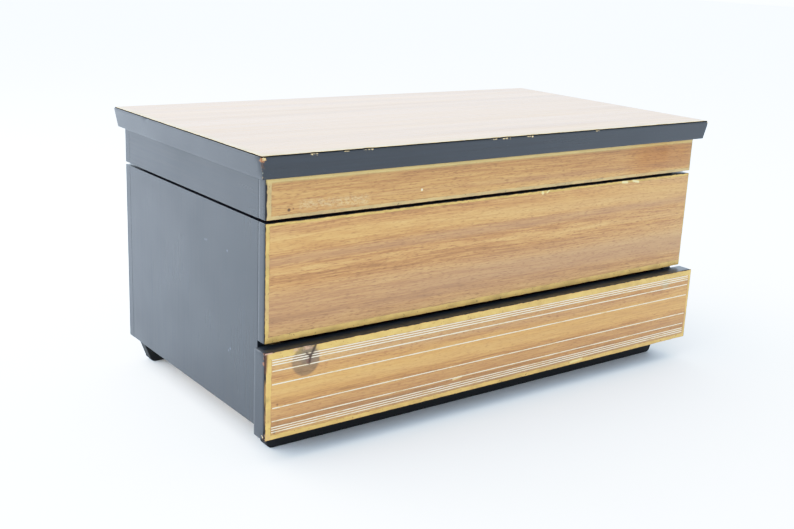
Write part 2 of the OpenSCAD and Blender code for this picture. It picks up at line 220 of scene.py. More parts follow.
# light past 1 that still shows, and (light, how bright it is shown) on the way there
highlightSet = {"top": 1.9, "steps": [(0.3, 0.3), (0.58, 0.575), (0.83, 0.75), (1.12, 0.86), (1.5, 0.95)]}


def setHighlightCurve():
    # highlights roll off as on a camera: bright surfaces keep their colour, and only the backdrop clips
    top = highlightSet["top"]
    view = bpy.context.scene.view_settings
    view.view_transform = "Standard"
    view.use_curve_mapping = True
    mapping = view.curve_mapping
    mapping.white_level = (top, top, top)
    points = mapping.curves[3].points
    points[0].location = (0, 0)
    points[1].location = (1, 1)
    for light, shown in highlightSet["steps"]:
        points.new(light / top, shown)
    for point in points:
        point.handle_type = "AUTO_CLAMPED"
    mapping.update()


setHighlightCurve()

stageSet = {
    "floorSize": 12.0,
    "floorColour": "#f4f6f8",
    "worldColour": "#e1f0ff",
    "frontLight": 0.9,
    "backLight": 2.6,
    "leftLight": 2.4,
    "softboxPlace": (-0.15, 0.15, 1.1),
    "softboxSize": 1.3,
    "softboxPower": 6.0,
    "bouncePlace": (-0.42, 0.62, 0.42),
    "bounceSize": 0.5,
    "bouncePower": 2.2,
}


def floorMaterial():
    # matt seamless paper: no gloss, so it fades into the backdrop
    material, tree, shader = startMaterial("seamlessPaper", 0.95, specular=0.1)
    shader.inputs["Base Color"].default_value = hexToLinear(stageSet["floorColour"])
    return material


def makeStage():
    half = stageSet["floorSize"] / 2
    mesh = bpy.data.meshes.new("floor")
    corners = [(-half, -half, 0), (half, -half, 0), (half, half, 0), (-half, half, 0)]
    mesh.from_pydata(corners, [], [(0, 1, 2, 3)])
    mesh.materials.append(floorMaterial())
    floor = bpy.data.objects.new("floor", mesh)
    floor.location.z = cadLow.z - 0.05 * mm
    bpy.context.scene.collection.objects.link(floor)

    world = bpy.data.worlds.new("lightTent")
    bpy.context.scene.world = world
    world.use_nodes = True
    tree = world.node_tree
    background = tree.nodes["Background"]
    background.inputs["Color"].default_value = hexToLinear(stageSet["worldColour"])
    place = addNode(tree, "TexCoord").outputs["Generated"]
    direction = addNode(tree, "SeparateXYZ", {}, {"Vector": place})
    backRange = {"From Min": -0.3, "From Max": 0.9, "To Min": stageSet["frontLight"],
                 "To Max": stageSet["backLight"]}
    back = addNode(tree, "MapRange", backRange, {"Value": direction.outputs["Y"]})
    leftRange = {"From Min": 0.2, "From Max": -1.0, "To Max": stageSet["leftLight"]}
    left = addNode(tree, "MapRange", leftRange, {"Value": direction.outputs["X"]})
    total = addNode(tree, "Math", {"operation": "ADD"}, {0: back, 1: left})
    tree.links.new(total.outputs[0], background.inputs["Strength"])

    # the softbox hangs over the box, and the bounce lights the paper that the left side mirrors
    for name, aim in (("softbox", Vector((0, 0, 0.08))), ("bounce", Vector((-0.34, 0.48, 0)))):
        lamp = bpy.data.lights.new(name, "AREA")
        lamp.size = stageSet[name + "Size"]
        lamp.energy = stageSet[name + "Power"]
        lampObject = bpy.data.objects.new(name, lamp)
        lampObject.location = stageSet[name + "Place"]
        lampObject.rotation_euler = (aim - lampObject.location).to_track_quat("-Z", "Y").to_euler()
        bpy.context.scene.collection.objects.link(lampObject)


makeStage()
print("stage: camera, floor and light")


lacquerLook = {
    "steps": [(0.3, "#12161c"), (0.72, "#1b2129")], "roughness": (0.27, 0.40),
    "streakMm": 0.9, "runMm": 45, "cloudMm": 38,
    "rubbed": "#4a505a", "rubbedMm": (0.5, 0.5, 1.6), "wearMm": 1.3, "wearSoft": 0.15 * mm,
}


def blackLacquer(name, along="X", wear=()):
    # black nitro lacquer sprayed on wood and rubbed out: semi-gloss, with the grain telegraphing through
    material, tree, shader = startMaterial(name)
    place = addNode(tree, "TexCoord").outputs["Object"]
    run, fine = lacquerLook["runMm"], lacquerLook["streakMm"]
    sizes = {"X": (run, fine, fine), "Y": (fine, run, fine), "Z": (fine, fine, run)}[along]
    streaks = stretchedNoise(tree, place, sizes, 4.0, 0.6)
    clouds = stretchedNoise(tree, place, (lacquerLook["cloudMm"],) * 3, 2.0)
    colour = addNode(tree, "ValToRGB", {"steps": lacquerLook["steps"]}, {"Fac": streaks})
    # fine rub marks, drawn at 0.5 mm so that they show
    specks = stretchedNoise(tree, place, lacquerLook["rubbedMm"], 2.0)
    specks = addNode(tree, "MapRange", {"From Min": 0.70, "From Max": 0.80, "To Max": 0.5}, {"Value": specks})
    colour = addNode(tree, "MixRGB", {"Color2": lacquerLook["rubbed"]}, {"Fac": specks, "Color1": colour})
    soft = lacquerLook["wearSoft"]
    for mark in wear:
        ragged = stretchedNoise(tree, place, (lacquerLook["wearMm"],) * 3, 3.0, 0.7)
        reach = {"From Min": 0.35, "From Max": 0.65, "To Min": -mark["ragged"], "To Max": mark["ragged"]}
        ragged = addNode(tree, "MapRange", reach, {"Value": ragged})
        away = addNode(tree, "VectorMath", {"operation": "DISTANCE", 1: mark["at"]}, {0: place})
        away = addNode(tree, "Math", {"operation": "ADD"}, {0: away.outputs["Value"], 1: ragged})
        rim = {"From Min": mark["radius"] + soft, "From Max": mark["radius"] - soft}
        mask = addNode(tree, "MapRange", rim, {"Value": away})
        colour = addNode(tree, "MixRGB", {"Color2": mark["colour"]}, {"Fac": mask, "Color1": colour})
    low, high = lacquerLook["roughness"]
    mixed = addNode(tree, "Math", {"operation": "ADD"}, {0: streaks, 1: clouds})
    glossRange = {"From Min": 0.75, "From Max": 1.3, "To Min": low, "To Max": high}
    gloss = addNode(tree, "MapRange", glossRange, {"Value": mixed})
    joinShader(tree, shader, colour, gloss, streaks, 0.05, 0.05 * mm)
    return material


paintLook = {"steps": [(0.68, "#101113"), (0.8, "#44464a")], "dustMm": 0.9, "brushMm": (30, 0.6, 0.6)}


def blackPaint():
    # brushed black emulsion on the feet: nearly matt, with dust specks caught in it
    material, tree, shader = startMaterial("blackPaint", 0.62, specular=0.25)
    place = addNode(tree, "TexCoord").outputs["Object"]
    specks = stretchedNoise(tree, place, (paintLook["dustMm"],) * 3, 2.0)
    colour = addNode(tree, "ValToRGB", {"steps": paintLook["steps"]}, {"Fac": specks})
    brushed = stretchedNoise(tree, place, paintLook["brushMm"], 2.0)
    joinShader(tree, shader, colour, None, brushed, 0.15, 0.1 * mm)
    return material


laminateLook = {
    "bandMm": (420, 7.5), "streakMm": (20, 0.75), "poreMm": (2.9, 0.42), "warpMm": 150, "warpBy": 1.6 * mm,
    "bandShare": 0.51, "steps": [(0.36, "#966a40"), (0.45, "#b07e4b"), (0.54, "#c2925a"), (0.64, "#d0a268")],
    "blush": "#a88463", "blushMm": (320, 10), "blushBy": 0.35, "pore": "#6d4a2d", "poreStrength": 0.5,
    "borders": (1.95, 1.0, 3.0, 1.2), "border": "#cda55e", "borderDeep": "#b39150", "borderSoft": 0.12 * mm,
    # 5d4a26 on the next line colours both the dirt specks in the border and the painted shade along its inner
    # edge
    "rubbed": (0.35, 0.3, 0.15, 0.2), "rubbedColour": "#150f0c", "dirtAndSeamShade": "#5d4a26", "roughness": (0.38, 0.5),
    "specular": 0.33,
}


def woodLaminate(name, low, high, across="Z", look=None, marks=()):
    # printed wood-grain laminate under satin varnish, with a gold-painted bevel round its edge
    look = {**laminateLook, **(look or {})}
    material, tree, shader = startMaterial(name, specular=look["specular"])
    place = addNode(tree, "TexCoord").outputs["Object"]

    def sizes(pair):
        return (pair[0], 40, pair[1]) if across == "Z" else (pair[0], pair[1], 40)

    # the grain bends gently along its length
    warp = stretchedNoise(tree, place, (look["warpMm"],) * 3, 1.0)
    bendRange = {"From Min": 0.25, "From Max": 0.75, "To Min": -look["warpBy"], "To Max": look["warpBy"]}
    bend = addNode(tree, "MapRange", bendRange, {"Value": warp})
    shift = addNode(tree, "CombineXYZ", {}, {across: bend})
    bent = addNode(tree, "VectorMath", {"operation": "ADD"}, {0: place, 1: shift})
    bands = stretchedNoise(tree, bent, sizes(look["bandMm"]), 2.0, 0.45)
    streaks = stretchedNoise(tree, bent, sizes(look["streakMm"]), 4.0, 0.6)
    pores = stretchedNoise(tree, bent, sizes(look["poreMm"]), 2.0, 0.5)
    share = look["bandShare"]
    fineTone = addNode(tree, "Math", {"operation": "MULTIPLY", 1: 1 - share}, {0: streaks})
    tone = addNode(tree, "Math", {"operation": "MULTIPLY_ADD", 1: share}, {0: bands, 2: fineTone})
    colour = addNode(tree, "ValToRGB", {"steps": look["steps"]}, {"Fac": tone})
    blush = stretchedNoise(tree, bent, sizes(look["blushMm"]), 2.0, 0.5)
    blush = addNode(tree, "MapRange", {"From Min": 0.46, "From Max": 0.66, "To Max": look["blushBy"]},
                    {"Value": blush})
    colour = addNode(tree, "MixRGB", {"Color2": look["blush"]}, {"Fac": blush, "Color1": colour})
    poreMask = addNode(tree, "MapRange", {"From Min": 0.53, "From Max": 0.70, "To Max": look["poreStrength"]},
                       {"Value": pores})
    colour = addNode(tree, "MixRGB", {"Color2": look["pore"]}, {"Fac": poreMask, "Color1": colour})

    # How far the place is inside the painted border, and inside the dark rubbed line round it: below 0 in
    # each. Every side has its own width: left, right, low, high.
    split = addNode(tree, "SeparateXYZ", {}, {"Vector": place})
    ragged = stretchedNoise(tree, place, (2.6, 2.6, 2.6), 3.0, 0.6)
    raggedRange = {"From Min": 0.3, "From Max": 0.7, "To Min": -0.2 * mm, "To Max": 0.2 * mm}
    ragged = addNode(tree, "MapRange", raggedRange, {"Value": ragged})
    index = "XYZ".index(across)
    edges = [("X", low[0], 1), ("X", high[0], -1), (across, low[index], 1), (across, high[index], -1)]
    gaps = []
    for axis, edge, sign in edges:
        gap = addNode(tree, "Math", {"operation": "MULTIPLY_ADD", 1: sign, 2: -sign * edge},
                      {0: split.outputs[axis]})
        gaps.append(addNode(tree, "Math", {"operation": "ADD"}, {0: gap, 1: ragged}))

    def insideOf(widths):
        nearest = None
        for gap, width in zip(gaps, widths):
            inside = addNode(tree, "Math", {"operation": "SUBTRACT", 1: width * mm}, {0: gap})
            nearest = addNode(tree, "Math", {"operation": "MINIMUM"},
                              {0: nearest, 1: inside}) if nearest else inside
        return nearest

    nearest = insideOf(look["borders"])
    # painted shade: a patchy dark line just inside the gold border's inner edge, where the bevel meets the
    # flat sheet
    patchy = stretchedNoise(tree, place, (9, 9, 4), 2.0)
    patchy = addNode(tree, "MapRange", {"From Min": 0.42, "From Max": 0.62, "To Max": 0.45},
                     {"Value": patchy})
    nearSeamShade = addNode(tree, "MapRange", {"From Min": 0.6 * mm, "From Max": 0.05 * mm}, {"Value": nearest})
    seamShade = addNode(tree, "Math", {"operation": "MULTIPLY"}, {0: nearSeamShade, 1: patchy})
    colour = addNode(tree, "MixRGB", {"Color2": look["dirtAndSeamShade"]}, {"Fac": seamShade, "Color1": colour})
    mottle = stretchedNoise(tree, place, (9, 9, 5), 3.0, 0.6)
    borderSteps = [(0.35, look["borderDeep"]), (0.6, look["border"])]
    border = addNode(tree, "ValToRGB", {"steps": borderSteps}, {"Fac": mottle})
    dirt = stretchedNoise(tree, place, (1.1, 1.1, 1.1), 2.0)
    dirt = addNode(tree, "MapRange", {"From Min": 0.66, "From Max": 0.74, "To Max": 0.7}, {"Value": dirt})
    border = addNode(tree, "MixRGB", {"Color2": look["dirtAndSeamShade"]}, {"Fac": dirt, "Color1": border})
    rim = look["borderSoft"]
    borderMask = addNode(tree, "MapRange", {"From Min": rim, "From Max": -rim}, {"Value": nearest})
    colour = addNode(tree, "MixRGB", {}, {"Fac": borderMask, "Color1": colour, "Color2": border})
    rubbedMask = addNode(tree, "MapRange", {"From Min": 0.15 * mm, "From Max": -0.15 * mm},
                         {"Value": insideOf(look["rubbed"])})
    colour = addNode(tree, "MixRGB", {"Color2": look["rubbedColour"]}, {"Fac": rubbedMask, "Color1": colour})
    colour = addMarks(tree, place, colour, marks, low.y)
    smoothest, roughest = look["roughness"]
    glossRange = {"From Min": 0.35, "From Max": 0.65, "To Min": smoothest, "To Max": roughest}
    gloss = addNode(tree, "MapRange", glossRange, {"Value": streaks})
    joinShader(tree, shader, colour, gloss, pores, 0.15, 0.04 * mm)
    return material


def stainedEdge():
    # the cut edge of a sheet, stained black and left matt, so that it reads as a dark line
    material, tree, shader = startMaterial("stainedSheetEdge", 0.85, specular=0.05)
    place = addNode(tree, "TexCoord").outputs["Object"]
    patchy = stretchedNoise(tree, place, (4, 4, 4), 3.0, 0.6)
    colour = addNode(tree, "ValToRGB", {"steps": [(0.4, "#0b0a09"), (0.7, "#1b1511")]}, {"Fac": patchy})
    joinShader(tree, shader, colour)
    return material


def creamInk(marks):
    # screen-printed cream lines: matt ink, thin enough to let the varnish show at the worn spots
    material, tree, shader = startMaterial("creamScreenInk", 0.5)
    place = addNode(tree, "TexCoord").outputs["Object"]
    worn = stretchedNoise(tree, place, (6, 3, 0.8), 3.0, 0.6)
    colour = addNode(tree, "ValToRGB", {"steps": [(0.34, "#d0b68c"), (0.48, "#e6d8bd")]}, {"Fac": worn})
    colour = addMarks(tree, place, colour, marks, drawerLow.y)
    joinShader(tree, shader, colour)
    return material


bareWoodLook = {"steps": [(0.35, "#b98f5f"), (0.6, "#d8b98c")], "fibre": "#b98f5f", "ringMm": (90, 2.2),
                "fibreMm": (9, 0.5)}


def bareWood(name, along):
    # sanded limewood without varnish: matt, with fine straight grain
    material, tree, shader = startMaterial(name, 0.72)
    place = addNode(tree, "TexCoord").outputs["Object"]

    def sizes(pair):
        return tuple(pair[0] if axis == along else pair[1] for axis in "XYZ")

    rings = stretchedNoise(tree, place, sizes(bareWoodLook["ringMm"]), 3.0, 0.5)
    grain = stretchedNoise(tree, place, sizes(bareWoodLook["fibreMm"]), 2.0)
    colour = addNode(tree, "ValToRGB", {"steps": bareWoodLook["steps"]}, {"Fac": rings})
    fibres = addNode(tree, "MapRange", {"From Min": 0.5, "From Max": 0.75, "To Max": 0.35}, {"Value": grain})
    colour = addNode(tree, "MixRGB", {"Color2": bareWoodLook["fibre"]}, {"Fac": fibres, "Color1": colour})
    joinShader(tree, shader, colour, None, grain, 0.2, 0.08 * mm)
    return material


velvetLook = {
    "steps": [(0.55, "#5a0f1f"), (1.0, "#741929")], "brushedMm": (70, 38, 45), "pileMm": 0.45, "pileBy": 0.6,
    "sheen": 0.55, "sheenRoughness": 0.35, "sheenColour": "#d98a94",
}


def cottonVelvet():
    # Cotton velvet: dark where the pile is seen end on, with a soft sheen at its rims and faint brushed
    # patches. The pile is drawn at 0.45 mm so that it shows.
    material, tree, shader = startMaterial("cottonVelvet", 0.9, specular=0.2)
    place = addNode(tree, "TexCoord").outputs["Object"]
    brushed = stretchedNoise(tree, place, velvetLook["brushedMm"], 2.0, 0.45)
    pile = stretchedNoise(tree, place, (velvetLook["pileMm"],) * 3, 2.0)
    mixed = addNode(tree, "Math", {"operation": "MULTIPLY_ADD", 1: velvetLook["pileBy"]},
                    {0: pile, 2: brushed})
    colour = addNode(tree, "ValToRGB", {"steps": velvetLook["steps"]}, {"Fac": mixed})
    shader.inputs["Sheen Weight"].default_value = velvetLook["sheen"]
    shader.inputs["Sheen Roughness"].default_value = velvetLook["sheenRoughness"]
    shader.inputs["Sheen Tint"].default_value = hexToLinear(velvetLook["sheenColour"])
    joinShader(tree, shader, colour, None, pile, 0.5, 0.15 * mm)
    return material


brassLook = {"cloudMm": 6, "steps": [(0.3, "#947648"), (0.5, "#a98a54"), (0.75, "#c2a56c")],
             "roughness": (0.45, 0.28)}


def satinBrass():
    # stamped brass, lacquered and dulled with age: warm metal with cloudy gloss and brown patches
    material, tree, shader = startMaterial("stampedBrass", 0.3, 1.0)
    place = addNode(tree, "TexCoord").outputs["Object"]
    clouds = stretchedNoise(tree, place, (brassLook["cloudMm"],) * 3, 4.0, 0.6)
    colour = addNode(tree, "ValToRGB", {"steps": brassLook["steps"]}, {"Fac": clouds})
    dull, bright = brassLook["roughness"]
    glossRange = {"From Min": 0.3, "From Max": 0.7, "To Min": dull, "To Max": bright}
    gloss = addNode(tree, "MapRange", glossRange, {"Value": clouds})
    joinShader(tree, shader, colour, gloss)
    return material


def silveredGlass():
    # silvered float glass: a clear mirror with a faint green cast
    material, tree, shader = startMaterial("silveredGlass", 0.02, 1.0)
    place = addNode(tree, "TexCoord").outputs["Object"]
    dust = stretchedNoise(tree, place, (30, 30, 30), 5.0, 0.6)
    colour = addNode(tree, "ValToRGB", {"steps": [(0.3, "#e3e9e7"), (0.7, "#eef2f1")]}, {"Fac": dust})
    glossRange = {"From Min": 0.4, "From Max": 0.8, "To Min": 0.015, "To Max": 0.06}
    gloss = addNode(tree, "MapRange", glossRange, {"Value": dust})
    joinShader(tree, shader, colour, gloss)
    return material


lacquerX = blackLacquer("blackLacquerAlongX", "X")
lacquerZ = blackLacquer("blackLacquerAlongZ", "Z")
lacquerY = blackLacquer("blackLacquerAlongY", "Y")
velvet = cottonVelvet()
brass = satinBrass()
print("stage: shared materials")


def roundedOutline(box, inset, radius, step):
    # Points round a rectangle (u0, u1, v0, v1) drawn in by inset. Each is (u, v, outward u, outward v, free),
    # where free is 1 on the straight runs and 0 at the corners. The count doesn't depend on inset.
    u0, u1, v0, v1 = box
    bend = max(radius - inset, 0.12 * mm)
    centres = [(u0 + inset + bend, v0 + inset + bend, 180), (u1 - inset - bend, v0 + inset + bend, 270),
               (u1 - inset - bend, v1 - inset - bend, 0), (u0 + inset + bend, v1 - inset - bend, 90)]
    spans = [u1 - u0 - 2 * radius, v1 - v0 - 2 * radius] * 2
    points = []
    for index, (cu, cv, angle) in enumerate(centres):
        for i in range(5):
            a = math.radians(angle + i * 22.5)
            points.append((cu + bend * math.cos(a), cv + bend * math.sin(a), math.cos(a), math.sin(a), 0.0))
        a = math.radians(angle + 90)
        nu, nv = math.cos(a), math.sin(a)
        start = Vector((cu + bend * nu, cv + bend * nv))
        end = Vector((centres[(index + 1) % 4][0] + bend * nu, centres[(index + 1) % 4][1] + bend * nv))
        count = max(2, int(spans[index] / step))
        for i in range(1, count):
            at = start.lerp(end, i / count)
            points.append((at.x, at.y, nu, nv, min(1.0, i / 3, (count - i) / 3)))
    return points


def loftLoops(name, loops, materials, body, smoothAngle=35, joined=False):
    # Closed solid through loops of equal length: capped at both ends, or joined from its last loop to its
    # first. The first ring of faces takes the second material, if there is one.
    count = len(loops[0])
    verts = [point for loop in loops for point in loop]
    faces = []
    for ring in range(len(loops) if joined else len(loops) - 1):
        near, far = ring * count, (ring + 1) % len(loops) * count
        for i in range(count):
            j = (i + 1) % count
            faces.append((near + i, near + j, far + j, far + i))
    if not joined:
        faces.append(tuple(range(len(verts) - count, len(verts))))
        faces.append(tuple(reversed(range(count))))
    piece = makePiece(name, verts, faces, materials, body, smoothAngle)
    if len(materials) > 1:
        for index in range(count):
            piece.data.polygons[index].material_index = 1
    return piece


def sheetWithBorder(name, low, high, face, material, body, sheet):
    # A sheet whose rim falls away in a narrow chamfer, from 0 at its face to rim, with its back at back. face
    # is "front" or "top", insets are left, right, low, high, and chips are (place along X, half length,
    # depth) on the front edge.
    across = 2 if face == "front" else 1
    left, right, lower, upper = sheet["insets"]
    box = (low.x + left, high.x - right, low[across] + lower, high[across] - upper)
    loops = []
    levels = ((0, sheet["back"], 1.0), (0, sheet["rim"], 1.0), (sheet["bevel"], 0.0, 0.5))
    for inward, depth, ragged in levels:
        loop = []
        torn = sheet["ragged"] * ragged
        for u, v, nu, nv, free in roundedOutline(box, inward, sheet["corner"], sheet["step"]):
            spot = (u, v, 0)
            bite = abs(wobble(spot, 4.0, sheet["seed"])) * torn
            bite += max(0, wobble(spot, 1.8, sheet["seed"] + 3) - 0.25) * torn
            for at, half, deep in sheet.get("chips", ()):
                if nv < -0.5 and abs(u - at) < half:
                    bite += deep * (1 - (abs(u - at) / half) ** 2) * (0.8 + 0.4 * wobble(spot, 0.8, 5))
            bite *= free
            u, v = u - nu * bite, v - nv * bite
            loop.append((u, low.y + depth, v) if face == "front" else (u, v, high.z - depth))
        loops.append(loop)
    return loftLoops(name, loops, [material, cutEdge], body, smoothAngle=3)


cutEdge = stainedEdge()


frontSheet = {"insets": (0.1 * mm, 0.05 * mm, 0.1 * mm, 0.05 * mm), "step": 1.2 * mm, "corner": 0.5 * mm,
              "rim": 0.2 * mm, "back": 0.75 * mm, "bevel": 1.3 * mm, "ragged": 0.16 * mm, "seed": 1}
boardLow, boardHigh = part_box("front_facing")
boardMarks = [
    {"at": (-140.0, 69.0, 140.0, 66.5), "width": 9.0, "colour": "#a07c5e", "strength": 0.38},
    {"at": (-140.0, 88.5, 140.0, 91.0), "width": 3.0, "colour": "#a5805f", "strength": 0.35},
    {"at": (-140.0, 97.0, 140.0, 97.5), "width": 6.0, "colour": "#cf9a55", "strength": 0.25},
    {"at": (22.7, 104.2), "radius": 0.8, "soft": 0.3, "colour": "#e8cf8e", "strength": 0.9},
    {"at": (25.5, 104.0, 27.0, 105.0), "width": 0.5, "colour": "#e8cf8e", "strength": 0.9},
    {"at": (79.6, 104.6, 83.0, 104.4), "width": 0.9, "colour": "#e3cf92", "strength": 0.9},
    {"at": (87.5, 104.8, 91.5, 103.9), "width": 0.9, "colour": "#e3cf92", "strength": 0.9},
]
frontPiece = sheetWithBorder("frontBoardFacing", boardLow, boardHigh, "front",
                             woodLaminate("frontBoardLaminate", boardLow, boardHigh, "Z", None, boardMarks),
                             "carcass", frontSheet)
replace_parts(frontPiece, "front_facing")

railLow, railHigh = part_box("lid_front_facing")
railMarks = [
    {"at": (-121.5, 110.2), "radius": 0.7, "soft": 0.3, "colour": "#4a2f1c", "strength": 0.9},
    {"at": (-119.4, 110.5), "radius": 0.35, "soft": 0.2, "colour": "#6a4a2c", "strength": 0.8},
    {"at": (-52.5, 112.5), "radius": 0.5, "soft": 0.25, "colour": "#f0dfb8", "strength": 0.9},
    {"at": (-114.8, 111.8, -83.0, 111.0), "width": 2.9, "colour": "#d8bf92", "strength": 0.35, "broken": 0.8},
    # painted highlight: a light gold line along the top border, lightening it against the shade under the lid
    # slab's overhang
    {"at": (-140.0, 123.5, 140.0, 123.5), "width": 2.2, "colour": "#e6c47a", "strength": 0.5},
    {"at": (96.0, 118.0), "radius": 9.0, "soft": 9.0, "colour": "#efd8ab", "strength": 0.8,
     "mode": "MULTIPLY"},
    {"at": (110.0, 119.0), "radius": 6.0, "soft": 6.0, "colour": "#efd8ab", "strength": 0.8,
     "mode": "MULTIPLY"},
    {"at": (124.0, 118.0), "radius": 5.0, "soft": 5.0, "colour": "#efd8ab", "strength": 0.6,
     "mode": "MULTIPLY"},
    {"at": (68.0, 124.2, 70.5, 124.3), "width": 0.8, "colour": "#241a12", "strength": 0.9},
    {"at": (56.0, 107.5, 64.0, 107.9), "width": 0.9, "colour": "#6f6248", "strength": 0.6, "broken": 1.2},
]
railLook = {
    "borders": (2.7, 1.0, 1.7, 2.1), "border": "#bb9b66", "borderDeep": "#a4895c",
    "rubbed": (0.7, 0.3, 0.15, 0.0),
    "steps": [(0.34, "#93673e"), (0.45, "#ac7b48"), (0.55, "#bc8d54"), (0.68, "#ca9c62")],
}
railPiece = sheetWithBorder("lidRailFacing", railLow, railHigh, "front",
                            woodLaminate("lidRailLaminate", railLow, railHigh, "Z", railLook, railMarks),
                            "lid", {**frontSheet, "seed": 2})
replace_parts(railPiece, "lid_front_facing")

drawerLow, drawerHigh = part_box("drawer_facing")
# a round damp stain with a crack through it
crackMarks = [
    {"at": (-110.9, 51.2, -113.5, 46.6), "width": 0.95, "colour": "#38261a", "strength": 0.9},
    {"at": (-113.5, 46.6, -114.1, 43.6), "width": 1.0, "colour": "#3b2318", "strength": 0.9},
    {"at": (-115.5, 48.3, -113.5, 46.6), "width": 0.7, "colour": "#46301f", "strength": 0.85},
    {"at": (-114.7, 44.7), "radius": 1.3, "soft": 0.4, "colour": "#6a3f2e", "strength": 0.8, "broken": 0.7},
]
drawerMarks = [
    {"at": (-140.0, 33.5, 140.0, 34.0), "width": 7.0, "colour": "#d49f5a", "strength": 0.38},
    {"at": (-140.0, 22.8, 140.0, 22.8), "width": 4.5, "colour": "#a87d54", "strength": 0.3},
    {"at": (-115.8, 45.0), "radius": 6.9, "soft": 0.5, "colour": "#bcc6de", "strength": 1.0,
     "mode": "MULTIPLY"},
    {"at": (-114.0, 47.4), "radius": 4.4, "soft": 1.4, "colour": "#5f534c", "strength": 0.6},
    {"at": (-121.5, 50.9, -113.5, 50.9), "width": 1.5, "colour": "#bd9479", "strength": 0.85, "broken": 2.2},
    *crackMarks,
    {"at": (115.0, 46.0), "radius": 2.5, "soft": 1.6, "colour": "#8f9a80", "strength": 0.45},
    {"at": (-33.0, 19.6, -28.0, 20.2), "width": 0.7, "colour": "#ecc88e", "strength": 0.7},
    {"at": (46.0, 13.2, 54.0, 13.8), "width": 0.9, "colour": "#e6cf8c", "strength": 0.7},
    {"at": (-135.6, 51.0, -136.0, 43.5), "width": 1.7, "colour": "#4a2b1e", "strength": 0.95},
    {"at": (-136.0, 51.5, -132.5, 51.5), "width": 0.8, "colour": "#b98f7c", "strength": 0.9},
    {"at": (-135.3, 12.6), "radius": 2.2, "soft": 0.8, "colour": "#b98a6a", "strength": 0.8, "broken": 1.8},
    {"at": (-130.9, 15.2), "radius": 0.7, "soft": 0.3, "colour": "#4b3a20", "strength": 0.9},
    {"at": (-129.6, 27.6), "radius": 0.5, "soft": 0.3, "colour": "#6e4a2a", "strength": 0.8},
    {"at": (-134.6, 30.5), "radius": 1.0, "soft": 0.8, "colour": "#84753f", "strength": 0.6},
]
drawerLook = {
    "borders": (3.25, 1.9, 2.2, 3.1), "border": "#d5a95f", "borderDeep": "#be9752",
    "rubbed": (0.85, 0.2, 0.1, 0.25), "blushBy": 0.4, "bandShare": 0.46,
    "steps": [(0.38, "#94693d"), (0.45, "#ad7a47"), (0.53, "#bd8b52"), (0.61, "#c8975d")],
}
drawerSheetLow = drawerLow + Vector((0, 0.07 * mm, 0))
drawerLaminate = woodLaminate("drawerLaminate", drawerLow, drawerHigh, "Z", drawerLook, drawerMarks)
drawerPiece = sheetWithBorder("drawerFacing", drawerSheetLow, drawerHigh, "front", drawerLaminate,
                              "drawer", {**frontSheet, "seed": 3})
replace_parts(drawerPiece, "drawer_facing")

# ten printed lines across the drawer front, in mirrored groups about its middle
stripeSet = {
    "left": 3.7 * mm, "right": 2.7 * mm, "width": 0.47 * mm, "proud": 0.05 * mm, "sink": 0.1 * mm,
    "step": 2.0 * mm, "startVaries": 0.5 * mm, "widthVaries": 0.16,
    "fromMiddle": [5.4 * mm, 11.4 * mm, 14.2 * mm, 15.3 * mm, 16.4 * mm],
}


def makeStripes():
    look = stripeSet
    middle = (drawerLow.z + drawerHigh.z) / 2
    start, end = drawerLow.x + look["left"], drawerHigh.x - look["right"]
    count = round((end - start) / look["step"])
    verts, faces = [], []
    for number, offset in enumerate([sign * away for away in look["fromMiddle"] for sign in (-1, 1)]):
        first = len(verts)
        begin = start + look["startVaries"] * wobble((0, 0, offset), 3, 9)
        for i in range(count + 1):
            x = begin + (end - begin) * i / count
            half = look["width"] / 2 * (1 + look["widthVaries"] * wobble((x, 0, offset), 5, number))
            front, back = drawerSheetLow.y - look["proud"], drawerSheetLow.y + look["sink"]
            for y, z in ((back, -half), (front, -half * 0.8), (front, half * 0.8), (back, half)):
                verts.append((x, y, middle + offset + z))
        for i in range(count):
            near, far = first + 4 * i, first + 4 * i + 4
            for k in range(4):
                m = (k + 1) % 4
                faces.append((near + k, near + m, far + m, far + k))
        faces.append((first, first + 1, first + 2, first + 3))
        last = first + 4 * count
        faces.append((last + 3, last + 2, last + 1, last))
    return makePiece("drawerStripes", verts, faces, [creamInk(crackMarks)], "drawer",
                     smoothAngle=40)


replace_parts(makeStripes(), "drawer_stripes")

topLow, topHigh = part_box("lid_facing")
topLook = {
    "bandMm": (220, 9), "streakMm": (110, 2.4), "poreStrength": 0.25, "borders": (3.2, 1.6, 4.2, 2.0),
    "steps": [(0.30, "#97714b"), (0.44, "#a97f57"), (0.56, "#b98f65"), (0.72, "#c59d74")],
    "blush": "#a8846a", "pore": "#7f5d3f", "border": "#b79c6a", "borderDeep": "#9c8252",
    "borderSoft": 1.3 * mm, "rubbed": (0.25, 0.25, 0.4, 0.25), "rubbedColour": "#6b5433",
    "roughness": (0.24, 0.34), "specular": 0.25,
}
topSheet = {"insets": (0.4 * mm, 0.3 * mm, 0.5 * mm, 0.4 * mm), "step": 0.8 * mm, "corner": 0.8 * mm,
            "rim": 0.12 * mm, "back": 0.78 * mm, "bevel": 0.9 * mm, "ragged": 0.4 * mm, "seed": 4,
            "chips": [(-0.1126, 0.0022, 0.5 * mm), (-0.0968, 0.0014, 0.4 * mm), (-0.0857, 0.003, 0.7 * mm),
                      (-0.0157, 0.002, 0.5 * mm), (-0.0077, 0.0034, 0.7 * mm), (0.0071, 0.0026, 0.6 * mm),
                      (0.052, 0.0016, 0.5 * mm)]}
topPiece = sheetWithBorder("lidTopFacing", topLow, topHigh, "top",
                           woodLaminate("lidTopLaminate", topLow, topHigh, "Y", topLook), "lid", topSheet)
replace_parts(topPiece, "lid_facing")
print("stage: wood-grain sheets")


